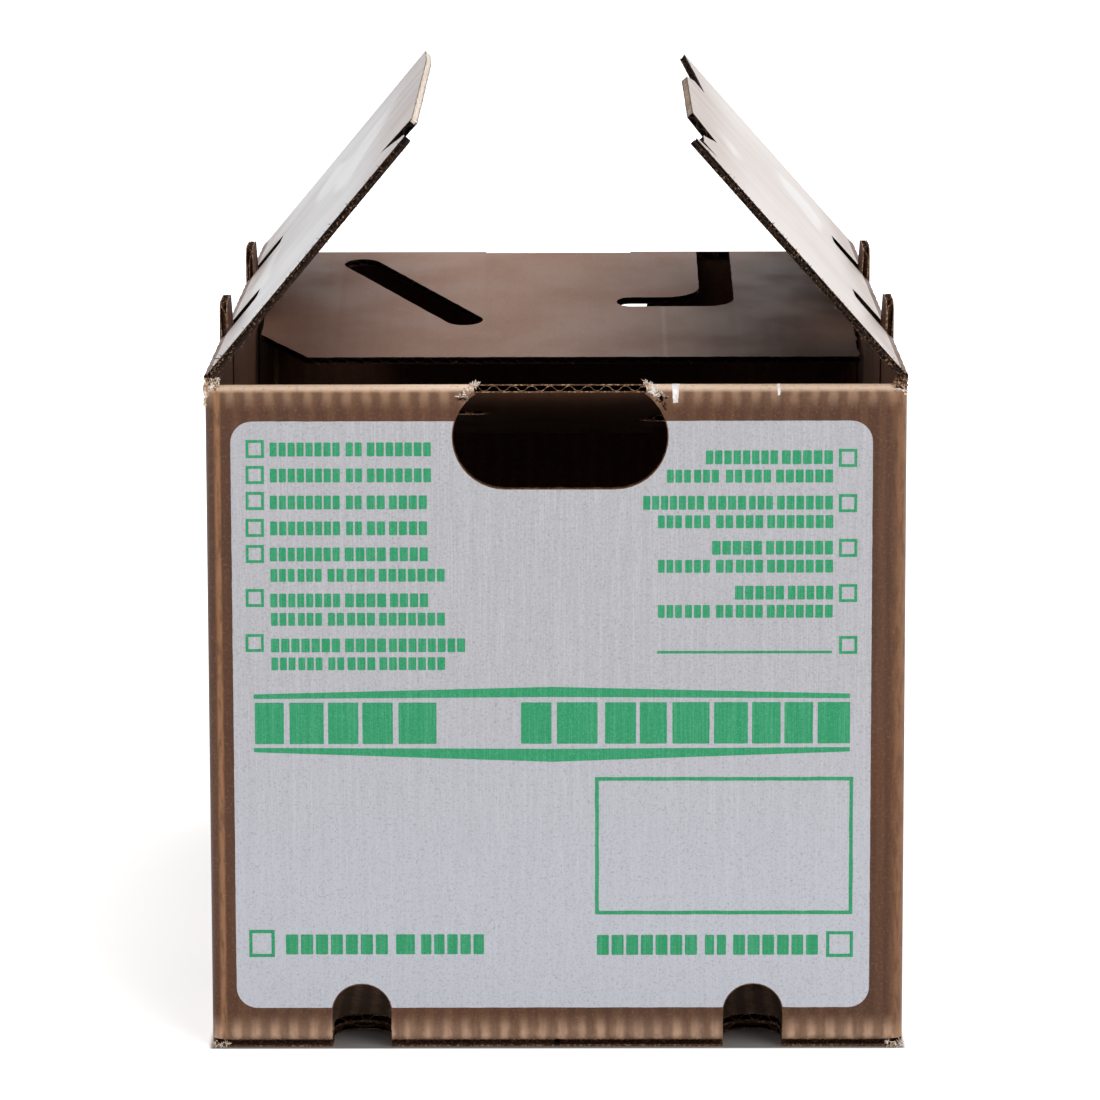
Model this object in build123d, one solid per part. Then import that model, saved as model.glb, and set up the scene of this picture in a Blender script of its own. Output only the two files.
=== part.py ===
from build123d import *
import math
import os

# A waxed corrugated produce carton, folded from one die-cut blank and glued.
# Origin: centre of the base. +Z up, the printed end faces -Y, the long sides face -X and +X.

# Board and overall size
BOARD = 3.6
WIDTH = 310.0
LENGTH = 508.0
END_TOP = 301.0
FOLD_R = 5.0

# The long sides are scored one board higher, so that their flaps close over the end flaps
LID_CLEARANCE = 0.3
SIDE_TOP = END_TOP + BOARD + LID_CLEARANCE

# Places that follow from the size
HALF_W = WIDTH / 2
HALF_L = LENGTH / 2
INNER_W = HALF_W - BOARD
INNER_L = HALF_L - BOARD
CORNER_W = HALF_W - FOLD_R
CORNER_L = HALF_L - FOLD_R

# End flaps, tucked in below the mouth
END_FLAP_LENGTH = 195.0
END_FLAP_HALF_W = 149.0
BACK_DROOP = 9.2
FRONT_DROOP = 14.0
FLAP_CHAMFER_X = 25.0
FLAP_CHAMFER_V = 39.0
FLAP_CORNER_R = 3.0

# Locking slots in each end flap, in the flap's own plane: x across, v from the wall's outer face
SLANT_START = (-102.3, 28.6)
SLANT_END = (-47.6, 130.4)
SLANT_WIDTH = 19.2
HOOK_X = (72.5, 90.0)
HOOK_TAIL_X = 30.0
HOOK_V = (-4.0, 107.0)
HOOK_TAIL_WIDTH = 16.5
HOOK_INNER_R = 18.0
HOOK_OUTER_R = 14.0
HOOK_TIP_R = 7.5

# Hand hole, whose straight top edge lies on the end wall's upper fold
HAND_HALF_W = 47.5
HAND_R = 23.2
HAND_Z = 278.3
HAND_TOP_HALF_W = 38.0
HAND_TOP_Z = 297.5
HAND_DEPTH = 7.0

# Bottom closure: end flaps inside, long flaps outside, glued together
BOTTOM_END_LENGTH = 152.0
BOTTOM_SEAM = 2.0

# Arched drain and stacking notches at the bottom folds
END_NOTCH_X = 87.7
END_NOTCH_W = 26.6
END_NOTCH_Z = 30.0
END_NOTCH_DEPTH = 37.0
END_NOTCH_R = 13.2
SIDE_NOTCH_W = 42.0
SIDE_NOTCH_Z = 25.0
SIDE_NOTCH_DEPTH = 18.0
SIDE_NOTCH_R = 8.5

# Stacking tabs that stay upright in the long sides when their flaps fold
TAB_Y = 108.0
TAB_W = 38.0
TAB_H = 20.0
TAB_R = 8.0
TAB_GAP = 1.5

# Long flaps, standing open and leaning in
LEFT_ANGLE = 49.8
RIGHT_ANGLE = 48.3
FLAP_HALF_L = 252.0
CREASE_R = 1.0
CREASE_GAP = 0.35
MITRE = 50.0

# Free edges of the long flaps, with their slits: (y, v) from the front end to the back end
LEFT_EDGE = [
    (-FLAP_HALF_L, 140.0),
    (-204.0, 118.5),
    (-218.0, 141.5),
    (218.0, 141.5),
    (204.0, 118.5),
    (FLAP_HALF_L, 140.0),
]
RIGHT_EDGE = [
    (-FLAP_HALF_L, 140.5),
    (-243.0, 139.0),
    (-232.0, 126.0),
    (-229.0, 135.0),
    (-192.0, 134.0),
    (-146.0, 122.5),
    (-134.0, 139.5),
    (75.0, 139.5),
    (128.0, 131.5),
    (120.0, 122.5),
    (172.0, 129.0),
    (FLAP_HALF_L, 137.5),
]

# Open flutes in the cut edges: a wavy web between two liners
FLUTE_PITCH = 8.4
LINER = 0.5
WEB = 0.35
FLUTE_DEPTH = 9.0
FLUTE_CREST = 0.9
EDGE_MARGIN = 2.0

# Glued lap that joins the blank into a tube, inside one corner
LAP_W = 35.0
LAP_Z = (14.0, 280.0)


def box_between(low, high):
    """A box from its lowest to its highest corner."""
    size = [b - a for a, b in zip(low, high)]
    middle = [(a + b) / 2 for a, b in zip(low, high)]
    return Pos(*middle) * Box(*size)


def arch(width, height, radius):
    """An opening standing on the x axis, with rounded upper corners."""
    low = -FOLD_R
    shaft = Pos(0, (height - radius + low) / 2) * Rectangle(width, height - radius - low)
    return shaft + Pos(0, height - radius) * SlotOverall(width, 2 * radius)


def board_strip(points, half_width):
    """Board bent along a line of its outer face, drawn in the YZ plane and extruded along X."""
    outer = FilletPolyline(*[(0, y, z) for y, z in points], radius=FOLD_R)
    outline = offset(outer, amount=-BOARD, side=Side.RIGHT)
    return extrude(make_face(outline), amount=half_width, dir=(1, 0, 0), both=True)


def end_profile(droop):
    """Outer face of an end: tucked flap, wall and bottom flap, as (y, z) for the end at -Y."""
    tilt = math.radians(droop)
    centre_z = END_TOP - FOLD_R
    run = (FOLD_R + FOLD_R * math.sin(tilt)) / math.cos(tilt)
    corner_z = centre_z + FOLD_R * math.cos(tilt) + run * math.sin(tilt)
    free = (-HALF_L + END_FLAP_LENGTH * math.cos(tilt), corner_z - END_FLAP_LENGTH * math.sin(tilt))
    inner = (-HALF_L + BOTTOM_END_LENGTH, BOARD)
    return [free, (-HALF_L, corner_z), (-HALF_L, BOARD), inner], corner_z


def flap_plane(droop, corner_z):
    """The tucked flap's outer face: x across, y along the flap from the wall's outer face."""
    tilt = math.radians(droop)
    return Plane(
        origin=(0, -HALF_L, corner_z),
        x_dir=(-1, 0, 0),
        z_dir=(0, -math.sin(tilt), -math.cos(tilt)),
    )


def slanted_slot():
    """Slot with round ends from SLANT_START to SLANT_END."""
    dx = SLANT_END[0] - SLANT_START[0]
    dv = SLANT_END[1] - SLANT_START[1]
    middle = ((SLANT_START[0] + SLANT_END[0]) / 2, (SLANT_START[1] + SLANT_END[1]) / 2)
    turn = math.degrees(math.atan2(dv, dx))
    return Pos(*middle) * Rot(0, 0, turn) * SlotCenterToCenter(math.hypot(dx, dv), SLANT_WIDTH)


def hook_slot():
    """Hooked slot: a band from the fold with a tail that turns towards the middle of the flap."""
    x0, x1 = HOOK_X
    v0, v1 = HOOK_V
    tail_v = v1 - HOOK_TAIL_WIDTH
    band = [(x0, v0), (x1, v0), (x1, v1)]
    tail = [(HOOK_TAIL_X, v1), (HOOK_TAIL_X, tail_v), (x0, tail_v)]
    shape = make_face(Polyline(*band, *tail, close=True))
    inner = shape.vertices().filter_by(lambda c: abs(c.X - x0) < 1 and abs(c.Y - tail_v) < 1)
    shape = fillet(inner, HOOK_INNER_R)
    outer = shape.vertices().filter_by(lambda c: abs(c.X - x1) < 1 and abs(c.Y - v1) < 1)
    shape = fillet(outer, HOOK_OUTER_R)
    tip = shape.vertices().filter_by(lambda c: abs(c.X - HOOK_TAIL_X) < 1)
    return fillet(tip, HOOK_TIP_R)


def hand_hole():
    """Cutter for the hand hole in the end at -Y, with the opened fold above it."""
    slot = SlotOverall(2 * HAND_HALF_W, 2 * HAND_R)
    plane = Plane(origin=(0, -HALF_L - 1, HAND_Z), x_dir=(1, 0, 0), z_dir=(0, -1, 0))
    cutter = extrude(plane * slot, amount=-HAND_DEPTH - 1)
    top = box_between(
        (-HAND_TOP_HALF_W, -HALF_L - 1, HAND_TOP_Z),
        (HAND_TOP_HALF_W, -HALF_L + HAND_DEPTH, END_TOP + 1),
    )
    return cutter + top


def bottom_notch(width, height, depth, radius, reach):
    """Cutter for one notch at -Y: an opening in the wall that runs on into the bottom."""
    wall = Plane(origin=(0, -reach - 1, 0), x_dir=(1, 0, 0), z_dir=(0, -1, 0))
    cutter = extrude(wall * arch(width, height, radius), amount=-2 * BOARD - 1)
    floor = extrude(arch(width, depth, radius), amount=2 * BOARD + 1.5)
    return cutter + Pos(0, -reach, -1) * floor


def end_piece(droop):
    """One end at -Y: bottom flap, wall with hand hole and notches, and tucked flap with slots."""
    points, corner_z = end_profile(droop)
    end = board_strip(points, CORNER_W)
    plane = flap_plane(droop, corner_z)
    free = END_FLAP_LENGTH + 1
    trim_start = 2 * FOLD_R
    for side in (-1, 1):
        strip = Pos(side * (END_FLAP_HALF_W + FOLD_R), (trim_start + free) / 2)
        edge = plane * (strip * Rectangle(2 * FOLD_R, free - trim_start))
        end -= extrude(edge, amount=2 * BOARD, both=True)
    chamfer = Polyline(
        (-END_FLAP_HALF_W - 1, END_FLAP_LENGTH - FLAP_CHAMFER_V),
        (-END_FLAP_HALF_W, END_FLAP_LENGTH - FLAP_CHAMFER_V),
        (-END_FLAP_HALF_W + FLAP_CHAMFER_X, END_FLAP_LENGTH),
        (-END_FLAP_HALF_W + FLAP_CHAMFER_X, free),
        (-END_FLAP_HALF_W - 1, free),
        close=True,
    )
    slots = [make_face(chamfer), slanted_slot(), hook_slot()]
    for slot in slots:
        end -= extrude(plane * slot, amount=2 * BOARD, both=True)
    end -= hand_hole()
    # the flap's cut edge above the hand hole shows its flutes
    sheet = Plane(origin=plane.origin, x_dir=plane.x_dir, z_dir=-plane.z_dir)
    reach = HAND_TOP_HALF_W - EDGE_MARGIN
    return end - [sheet * cut for cut in flutes(-reach, reach, lambda x: -FLUTE_DEPTH - HAND_DEPTH, 0)]


def side_piece():
    """One long side at +X: wall up to its crease, stacking tabs and outer bottom flap."""
    points = [(-HALF_W, SIDE_TOP), (-HALF_W, 0), (-BOTTOM_SEAM / 2, 0)]
    side = Rot(0, 0, 90) * board_strip(points, CORNER_L)
    reach = BOARD * math.tan(math.radians(MITRE))
    mitre = Polyline(
        (HALF_W, 0, SIDE_TOP - CREASE_GAP),
        (HALF_W + 1, 0, SIDE_TOP + 1),
        (INNER_W - 1, 0, SIDE_TOP + 1),
        (INNER_W - 1, 0, SIDE_TOP - CREASE_GAP - reach * (BOARD + 1) / BOARD),
        close=True,
    )
    side -= extrude(make_face(mitre), amount=HALF_L, dir=(0, 1, 0), both=True)
    crease = Pos(HALF_W, 0, SIDE_TOP) * Rot(90, 0, 0) * Cylinder(CREASE_R, 2 * CORNER_L)
    side += crease
    for y in (-TAB_Y, TAB_Y):
        tab = Rectangle(TAB_W, TAB_H + 2 * TAB_R)
        tab = fillet(tab.vertices().group_by(Axis.Y)[-1], TAB_R)
        plane = Plane(origin=(HALF_W, y, SIDE_TOP + TAB_H / 2 - TAB_R), x_dir=(0, 1, 0), z_dir=(1, 0, 0))
        gap = TAB_W / 2 + TAB_GAP
        side -= box_between((HALF_W, y - gap, SIDE_TOP - CREASE_R), (HALF_W + 2, y + gap, SIDE_TOP + 2))
        side += extrude(plane * tab, amount=-BOARD)
    return side


def corner_posts():
    """The four upright folds between the ends and the long sides."""
    ring = RectangleRounded(WIDTH, LENGTH, FOLD_R) - RectangleRounded(2 * INNER_W, 2 * INNER_L, FOLD_R - BOARD)
    tube = Pos(0, 0, FOLD_R) * extrude(ring, amount=END_TOP - 1.5 * FOLD_R)
    keep = Part()
    for x in (-1, 1):
        for y in (-1, 1):
            keep += Pos(x * (CORNER_W + FOLD_R), y * (CORNER_L + FOLD_R), HALF_L) * Box(
                2 * FOLD_R, 2 * FOLD_R, 2 * HALF_L
            )
    return tube & keep


def carton():
    """Everything that is folded from the blank and doesn't move: walls, bottom and end flaps."""
    body = end_piece(FRONT_DROOP) + Rot(0, 0, 180) * end_piece(BACK_DROOP)
    body += side_piece() + Rot(0, 0, 180) * side_piece()
    body += corner_posts()
    body += box_between((-INNER_W, INNER_L - BOARD, LAP_Z[0]), (-INNER_W + LAP_W, INNER_L, LAP_Z[1]))
    for x in (-END_NOTCH_X, END_NOTCH_X):
        cutter = bottom_notch(END_NOTCH_W, END_NOTCH_Z, END_NOTCH_DEPTH, END_NOTCH_R, HALF_L)
        notch = Pos(x, 0, 0) * cutter
        body -= notch
        body -= Rot(0, 0, 180) * notch
    for y in (-TAB_Y, TAB_Y):
        cutter = bottom_notch(SIDE_NOTCH_W, SIDE_NOTCH_Z, SIDE_NOTCH_DEPTH, SIDE_NOTCH_R, HALF_W)
        notch = Pos(y, 0, 0) * cutter
        body -= Rot(0, 0, 90) * notch
        body -= Rot(0, 0, -90) * notch
    return body


def edge_at(edge, y):
    """How far out the free edge lies at y; the lowest place where a slit runs under it."""
    found = []
    for (y0, v0), (y1, v1) in zip(edge, edge[1:]):
        if min(y0, y1) <= y <= max(y0, y1):
            found.append(v0 + (v1 - v0) * (y - y0) / (y1 - y0))
    return min(found)


def flutes(low, high, near, far):
    """Cutters for the open flutes of a cut edge, in sheet coordinates: x along the edge, y outwards.

    near gives how far in each flute is cut, as a function of x; far lies outside the edge.
    """
    half_base = FLUTE_PITCH / 2 - WEB
    half_crest = FLUTE_CREST - WEB
    shallow, deep = -LINER, -(BOARD - LINER - WEB)
    cutters = []
    count = int((high - low - 2 * half_base) / (FLUTE_PITCH / 2)) + 1
    for i in range(count):
        x = low + half_base + i * FLUTE_PITCH / 2
        base, crest = (shallow, deep) if i % 2 else (-BOARD - shallow, -BOARD - deep)
        plane = Plane(origin=(x, far, 0), x_dir=(1, 0, 0), z_dir=(0, -1, 0))
        corners = [(-half_base, base), (half_base, base), (half_crest, crest), (-half_crest, crest)]
        section = plane * make_face(Polyline(*corners, close=True))
        cutters.append(extrude(section, amount=far - near(x), dir=(0, -1, 0)))
    return cutters


def long_flap(edge, angle):
    """One long flap for the side at +X, standing at an angle above level, with cuts round the tabs."""
    root = CREASE_R + CREASE_GAP
    outline = Polyline((-FLAP_HALF_L, root), *edge, (FLAP_HALF_L, root), close=True)
    sheet = make_face(outline)
    for y in (-TAB_Y, TAB_Y):
        cut = Rectangle(TAB_W + 2 * TAB_GAP, 2 * (TAB_H + TAB_GAP))
        cut = fillet(cut.vertices().group_by(Axis.Y)[-1], TAB_R)
        sheet -= Pos(y, 0) * cut
    plate = extrude(sheet, amount=-BOARD)
    reach = BOARD * math.tan(math.radians(MITRE))
    mitre = Polyline((0, root, 0), (0, root + reach, -BOARD), (0, -1, -BOARD - 1), (0, -1, 0), close=True)
    plate -= extrude(make_face(mitre), amount=HALF_L, dir=(1, 0, 0), both=True)
    reach = FLAP_HALF_L - EDGE_MARGIN
    plate -= flutes(-reach, reach, lambda y: edge_at(edge, y) - FLUTE_DEPTH, max(v for y, v in edge) + 1)
    tilt = math.radians(angle)
    hinge = Plane(
        origin=(HALF_W, 0, SIDE_TOP),
        x_dir=(0, 1, 0),
        z_dir=(math.sin(tilt), 0, math.cos(tilt)),
    )
    return hinge * plate


def right_flap():
    return long_flap(RIGHT_EDGE, RIGHT_ANGLE)


def left_flap():
    return mirror(long_flap(LEFT_EDGE, LEFT_ANGLE), about=Plane.YZ)


def main():
    os.makedirs("parts", exist_ok=True)
    nodes = {"carton": carton(), "left_flap": left_flap(), "right_flap": right_flap()}
    for name, solid in nodes.items():
        export_step(solid, os.path.join("parts", name + ".step"))


main()
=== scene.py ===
import math
import random

import bpy
from mathutils import Matrix, Vector

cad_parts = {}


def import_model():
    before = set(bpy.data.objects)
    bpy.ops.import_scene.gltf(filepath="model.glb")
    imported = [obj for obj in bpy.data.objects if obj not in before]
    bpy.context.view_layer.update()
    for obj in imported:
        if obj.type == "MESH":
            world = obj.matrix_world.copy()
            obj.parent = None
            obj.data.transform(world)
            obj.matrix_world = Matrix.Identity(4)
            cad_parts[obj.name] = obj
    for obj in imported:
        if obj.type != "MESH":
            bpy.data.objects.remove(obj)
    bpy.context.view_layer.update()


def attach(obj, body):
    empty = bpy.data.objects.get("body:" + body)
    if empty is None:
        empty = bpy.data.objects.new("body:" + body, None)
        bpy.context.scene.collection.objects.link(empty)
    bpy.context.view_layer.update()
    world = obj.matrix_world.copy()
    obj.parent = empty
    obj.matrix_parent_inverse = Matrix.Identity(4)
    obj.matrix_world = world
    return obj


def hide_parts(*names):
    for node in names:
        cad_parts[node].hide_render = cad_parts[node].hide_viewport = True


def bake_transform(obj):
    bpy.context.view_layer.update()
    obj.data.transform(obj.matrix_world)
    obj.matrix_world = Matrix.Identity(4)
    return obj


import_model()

# Lengths are in millimetres until mesh_piece turns them into metres.
MM = 0.001
NUDGE = 0.001  # a small step sideways, so that no side of a printed shape is exactly upright

# The board: its thickness, the thickness of a liner, the spacing of the flutes, the radius of a fold
BOARD = 3.6
LINER = 0.5
PITCH = 8.4
FOLD_R = 5.0

# The box over its walls, up to the ends' folds and to the long flaps' hinges
HALF_W = 155.0
HALF_L = 254.0
END_TOP = 301.0
SIDE_TOP = 304.9
SIDE_GAP = 0.35  # between a long side's top edge and its closed flap

# Slope of the tucked end flaps, and lean of the standing long flaps
BACK_DROOP = math.radians(9.2)
FRONT_DROOP = math.radians(14.0)
LEFT_ANGLE = math.radians(50.1)
RIGHT_ANGLE = math.radians(48.4)

# Tucked end flaps: length, half width, and the corner that is cut off
END_FLAP = 195.0
END_FLAP_HALF = 149.0
CORNER_W = 25.0
CORNER_L = 39.0

# Hand holes: height of the middle, end radius and half width. The front one sits HAND_X to the right.
HAND_Z = 278.3
HAND_R = 23.2
HAND_HALF_W = 47.5
HAND_X = 1.8

# From HAND_FOLD_Z up each hole is narrower, and it runs over the fold to HAND_LIP on the tucked flap
HAND_FOLD_Z = 297.5
HAND_FOLD_HALF = 38.0
HAND_LIP = 7.2

# Drain notches in the ends, and how far each end's bottom flap reaches in
END_NOTCH_X = 87.7
END_NOTCH_W = 26.6
END_NOTCH_R = 13.2
END_NOTCH_TOP = 30.0
END_NOTCH_IN = 37.0
END_FLOOR = 152.0

# Stacking tabs, the slots that they leave in the long flaps, and the notches below them
TAB_Y = 108.0
TAB_HALF = 19.0
TAB_R = 8.0
TAB_TOP = 321.9
TAB_LEAN = 0.9
TAB_CUT = 25.5
TAB_CUT_HALF = 20.5
SIDE_NOTCH_W = 42.0
SIDE_NOTCH_R = 8.5
SIDE_NOTCH_TOP = 25.0
SIDE_NOTCH_IN = 18.0
SIDE_FLOOR = 154.0

# Ends of the long flaps, and where their boards start beyond the hinge
FLAP_END = 252.0
FLAP_ROOT = 1.35

# Torn paper is kept inside this width and these heights, and inside the carton's length
TORN_X = 155.8
TORN_LOW = 0.05
TORN_HIGH = 304.6

# Upright corner folds: their lower and upper ends
POST_LOW = 5.0
POST_HIGH = 299.0

# How far the print stands off the front face
FIELD_LIFT = 0.04
MARK_LIFT = 0.08

# Material slots of a sheet of board, and the layers within which its points are shared
OUTER, INNER, CUT, FLUTE, PRESSED, SHRED = range(6)
OUTER_FACE, INNER_FACE, MIDDLE, LINER_LIP, FLUTE_LIP, PRESSED_LIP = range(6)
LOOSE_PAPER = 9

# Free edges of the long flaps with their slits: (y, v) from front to back, v away from the fold
LEFT_EDGE = [
    (-252.0, 138.2), (-238.0, 137.5), (-166.0, 117.6), (-186.0, 140.4), (150.0, 137.5), (252.0, 132.8),
]
RIGHT_EDGE = [
    (-252.0, 140.6), (-243.0, 139.0), (-224.0, 125.0), (-221.0, 134.5), (-186.0, 133.5), (-137.0, 122.6),
    (-116.0, 138.4), (95.0, 136.4), (122.0, 130.0), (118.0, 122.2), (172.0, 126.0), (252.0, 133.6),
]


def arc_points(cx, cy, r, a0, a1, n):
    """Points on an arc, angles in degrees."""
    out = []
    for i in range(n + 1):
        a = math.radians(a0 + (a1 - a0) * i / n)
        out.append((cx + r * math.cos(a), cy + r * math.sin(a)))
    return out


def ragged(loop, rng, step, rough, breaks=()):
    """A loop with points every few millimetres, each moved a little, as a die cut in board is."""
    out = []
    for (u0, s0), (u1, s1) in zip(loop, loop[1:] + loop[:1]):
        length = math.hypot(u1 - u0, s1 - s0)
        n = max(1, int(length / step))
        cuts = {i / n for i in range(n)}
        for b in breaks:
            if min(s0, s1) < b < max(s0, s1):
                cuts.add((b - s0) / (s1 - s0))
        for t in sorted(cuts):
            inner = 0.0 if t == 0 else 1.0
            du = rng.uniform(-rough, rough) * inner + rng.uniform(-0.002, 0.002)
            ds = rng.uniform(-rough, rough) * inner * (0.0 if breaks and t * n % 1 else 1.0)
            out.append((u0 + (u1 - u0) * t + du, s0 + (s1 - s0) * t + ds))
    return out


def crossing(e, f):
    """Where two edges cross, as u, or None."""
    (a, b), (c, d) = e, f
    r, q = (b[0] - a[0], b[1] - a[1]), (d[0] - c[0], d[1] - c[1])
    det = r[0] * q[1] - r[1] * q[0]
    if abs(det) < 1e-12:
        return None
    t = ((c[0] - a[0]) * q[1] - (c[1] - a[1]) * q[0]) / det
    w = ((c[0] - a[0]) * r[1] - (c[1] - a[1]) * r[0]) / det
    return a[0] + t * r[0] if 0 <= t <= 1 and 0 <= w <= 1 else None


def strips(outer, holes, step):
    """Cuts a sheet with holes into thin strips along its flutes.

    Each strip is (u0, u1, low edge, high edge), an edge being its s at u0 and at u1.
    """
    loops = [outer] + holes
    edges = []
    for k, loop in enumerate(loops):
        for a, b in zip(loop, loop[1:] + loop[:1]):
            edges.append((min(a[0], b[0]), max(a[0], b[0]), a, b, k))
    us = {p[0] for loop in loops for p in loop}
    low, high = min(p[0] for p in outer), max(p[0] for p in outer)
    n = max(1, int((high - low) / step))
    us.update(low + (high - low) * i / n for i in range(n + 1))
    for i, e in enumerate(edges):
        for f in edges[i + 1:]:
            if e[4] != f[4] and e[0] <= f[1] and f[0] <= e[1]:
                u = crossing(e[2:4], f[2:4])
                if u is not None:
                    us.add(u)
    us = sorted(u for u in us if low <= u <= high)
    edges.sort(key=lambda e: e[0])
    out, active, nxt = [], [], 0
    for u0, u1 in zip(us, us[1:]):
        if u1 - u0 < 1e-7:
            continue
        mid = (u0 + u1) / 2
        while nxt < len(edges) and edges[nxt][0] <= mid:
            active.append(edges[nxt])
            nxt += 1
        active = [e for e in active if e[1] > mid]
        events = []
        for _, _, a, b, k in active:
            slope = (b[1] - a[1]) / (b[0] - a[0])
            events.append((*(a[1] + (u - a[0]) * slope for u in (mid, u0, u1)), k))
        events.sort()
        inside, start = set(), None
        for s, s0, s1, k in events:
            was = 0 in inside and len(inside) == 1
            inside ^= {k}
            now = 0 in inside and len(inside) == 1
            if now and not was:
                start = (s0, s1)
            if was and not now:
                out.append((u0, u1, start, (s0, s1)))
    return out


class Builder:
    """Collects quads; points are shared when they fall on the same place and layer."""

    def __init__(self):
        self.verts, self.faces, self.mats, self.index = [], [], [], {}

    def point(self, p, layer):
        key = (round(p[0], 3), round(p[1], 3), round(p[2], 3), layer)
        if key not in self.index:
            self.index[key] = len(self.verts)
            self.verts.append(p)
        return self.index[key]

    def quad(self, points, layer, mat):
        ids = []
        for p in points:
            i = self.point(p, layer)
            if i not in ids:
                ids.append(i)
        if len(ids) > 2:
            self.faces.append(ids)
            self.mats.append(mat)


def corrugate(build, outer, holes, place, breaks, seed, crush=None):
    """Adds one sheet: outer face, inner face, the liners' cut lips and the fluted middle.

    Where crush(u, s) holds, the cut edge is pressed shut instead of showing its flutes.
    """
    amp0 = BOARD / 2 - LINER - 0.05
    phase = random.Random(seed).uniform(0, 6)
    half_paper = 0.17  # half the thickness of the middle paper's cut edge

    def wave(u):
        amp = amp0 * (0.94 + 0.06 * math.sin(u / 37.0 + seed))
        turn = math.sin(2 * math.pi * u / PITCH + phase + 0.25 * math.sin(u / 23.0))
        return BOARD / 2 + amp * math.copysign(abs(turn) ** 0.7, turn)

    for u0, u1, (a0, a1), (b0, b1) in strips(outer, holes, PITCH / 8):
        cuts = [c for c in breaks if max(a0, a1) + 0.01 < c < min(b0, b1) - 0.01]
        left = [a0] + cuts + [b0]
        right = [a1] + cuts + [b1]
        w0, w1 = wave(u0), wave(u1)
        for i in range(len(left) - 1):
            l0, l1, r0, r1 = left[i], left[i + 1], right[i], right[i + 1]
            outside = [place(u0, l0, 0), place(u1, r0, 0), place(u1, r1, 0), place(u0, l1, 0)]
            build.quad(outside, OUTER_FACE, OUTER)
            inner = [place(u0, l0, BOARD), place(u0, l1, BOARD), place(u1, r1, BOARD), place(u1, r0, BOARD)]
            build.quad(inner, INNER_FACE, INNER)
            core = [place(u0, l0, w0), place(u1, r0, w1), place(u1, r1, w1), place(u0, l1, w0)]
            build.quad(core, MIDDLE, FLUTE)
        for s0, s1 in ((a0, a1), (b0, b1)):
            for d0, d1 in ((0, LINER), (BOARD - LINER, BOARD)):
                lip = [place(u0, s0, d0), place(u1, s1, d0), place(u1, s1, d1), place(u0, s0, d1)]
                build.quad(lip, LINER_LIP, CUT)
            lip = [
                place(u0, s0, w0 - half_paper), place(u1, s1, w1 - half_paper),
                place(u1, s1, w1 + half_paper), place(u0, s0, w0 + half_paper),
            ]
            build.quad(lip, FLUTE_LIP, CUT)
            if crush and crush((u0 + u1) / 2, (s0 + s1) / 2):
                top, under = 0.1, BOARD - 0.1
                lip = [place(u0, s0, top), place(u1, s1, top), place(u1, s1, under), place(u0, s0, under)]
                build.quad(lip, PRESSED_LIP, PRESSED)


def mesh_piece(name, build, materials, body, node=None):
    """Makes a piece. It rides on a body and takes the place of a node, where these are given."""
    mesh = bpy.data.meshes.new(name)
    mesh.from_pydata([[c * MM for c in p] for p in build.verts], [], build.faces)
    for m in materials:
        mesh.materials.append(m)
    mesh.polygons.foreach_set("material_index", build.mats)
    mesh.polygons.foreach_set("use_smooth", [True] * len(mesh.polygons))
    mesh.update()
    mesh.set_sharp_from_angle(angle=math.radians(30))
    piece = bpy.data.objects.new(name, mesh)
    bpy.context.scene.collection.objects.link(piece)
    if body:
        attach(piece, body)
    if node:
        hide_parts(node)
    return piece


def true_sides(loop, full):
    """Sets a loop's two upright sides straight, where they meet the corner folds.

    Every second point is a hair further in, because strips gives no cut edge to an exactly upright side.
    """
    return [
        (math.copysign(full - 1e-4 * (i % 2), u), s) if abs(abs(u) - full) < 0.8 else (u, s)
        for i, (u, s) in enumerate(loop)
    ]


class Profile:
    """The outer face of a folded strip, as (h, z) along s; s equals z on the wall."""

    def __init__(self, half, base, top=None, droop=0.0):
        self.half, self.base, self.top, self.droop = half, base, top, droop
        self.low = base + FOLD_R
        self.low_end = self.low - FOLD_R * math.pi / 2
        if top is not None:
            self.high = top - FOLD_R
            self.high_end = self.high + FOLD_R * (math.pi / 2 + droop)
            self.run = (FOLD_R + FOLD_R * math.sin(droop)) / math.cos(droop)

    def at(self, s, d):
        """The point at s, at depth d in the board."""
        centre = self.half - FOLD_R
        if s < self.low_end:
            return centre - (self.low_end - s), self.base + d
        if s < self.low:
            a = (s - self.low) / FOLD_R
            r = FOLD_R - d
            return centre + r * math.cos(a), self.low + r * math.sin(a)
        if self.top is None or s <= self.high:
            return self.half - d, s
        r = FOLD_R - d
        if s < self.high_end:
            a = (s - self.high) / FOLD_R
            return centre + r * math.cos(a), self.high + r * math.sin(a)
        a = math.pi / 2 + self.droop
        t = s - self.high_end
        return (
            centre + r * math.cos(a) - t * math.cos(self.droop),
            self.high + r * math.sin(a) - t * math.sin(self.droop),
        )

    def breaks(self):
        """Where faces have to be split, so that the folds are round and the walls stay flat."""
        out = [self.low - FOLD_R * math.pi / 2 * i / 5 for i in range(5, -1, -1)] + [self.low + 0.5]
        if self.top is not None:
            out += [self.high - 0.5] + [self.high + (self.high_end - self.high) * i / 7 for i in range(8)]
        return out

    def of_floor(self, inward):
        """s of a point of the bottom flap that lies so far in from the wall's outer face."""
        return self.low_end - (inward - FOLD_R)

    def of_flap(self, v):
        """s of a point of the tucked flap at v from the wall's outer face."""
        return self.high_end + v - self.run


def notch_loop(x, width, r, top, floor_s):
    """An opening through wall and floor, with corners of radius r."""
    left, right, high, low = x - width / 2 + r, x + width / 2 - r, top - r, floor_s + r
    loop = []
    for u, s, start in ((right, high, 0), (left, high, 90), (left, low, 180), (right, low, 270)):
        loop += arc_points(u, s, r, start, start + 90, 7)
    return loop


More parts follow.
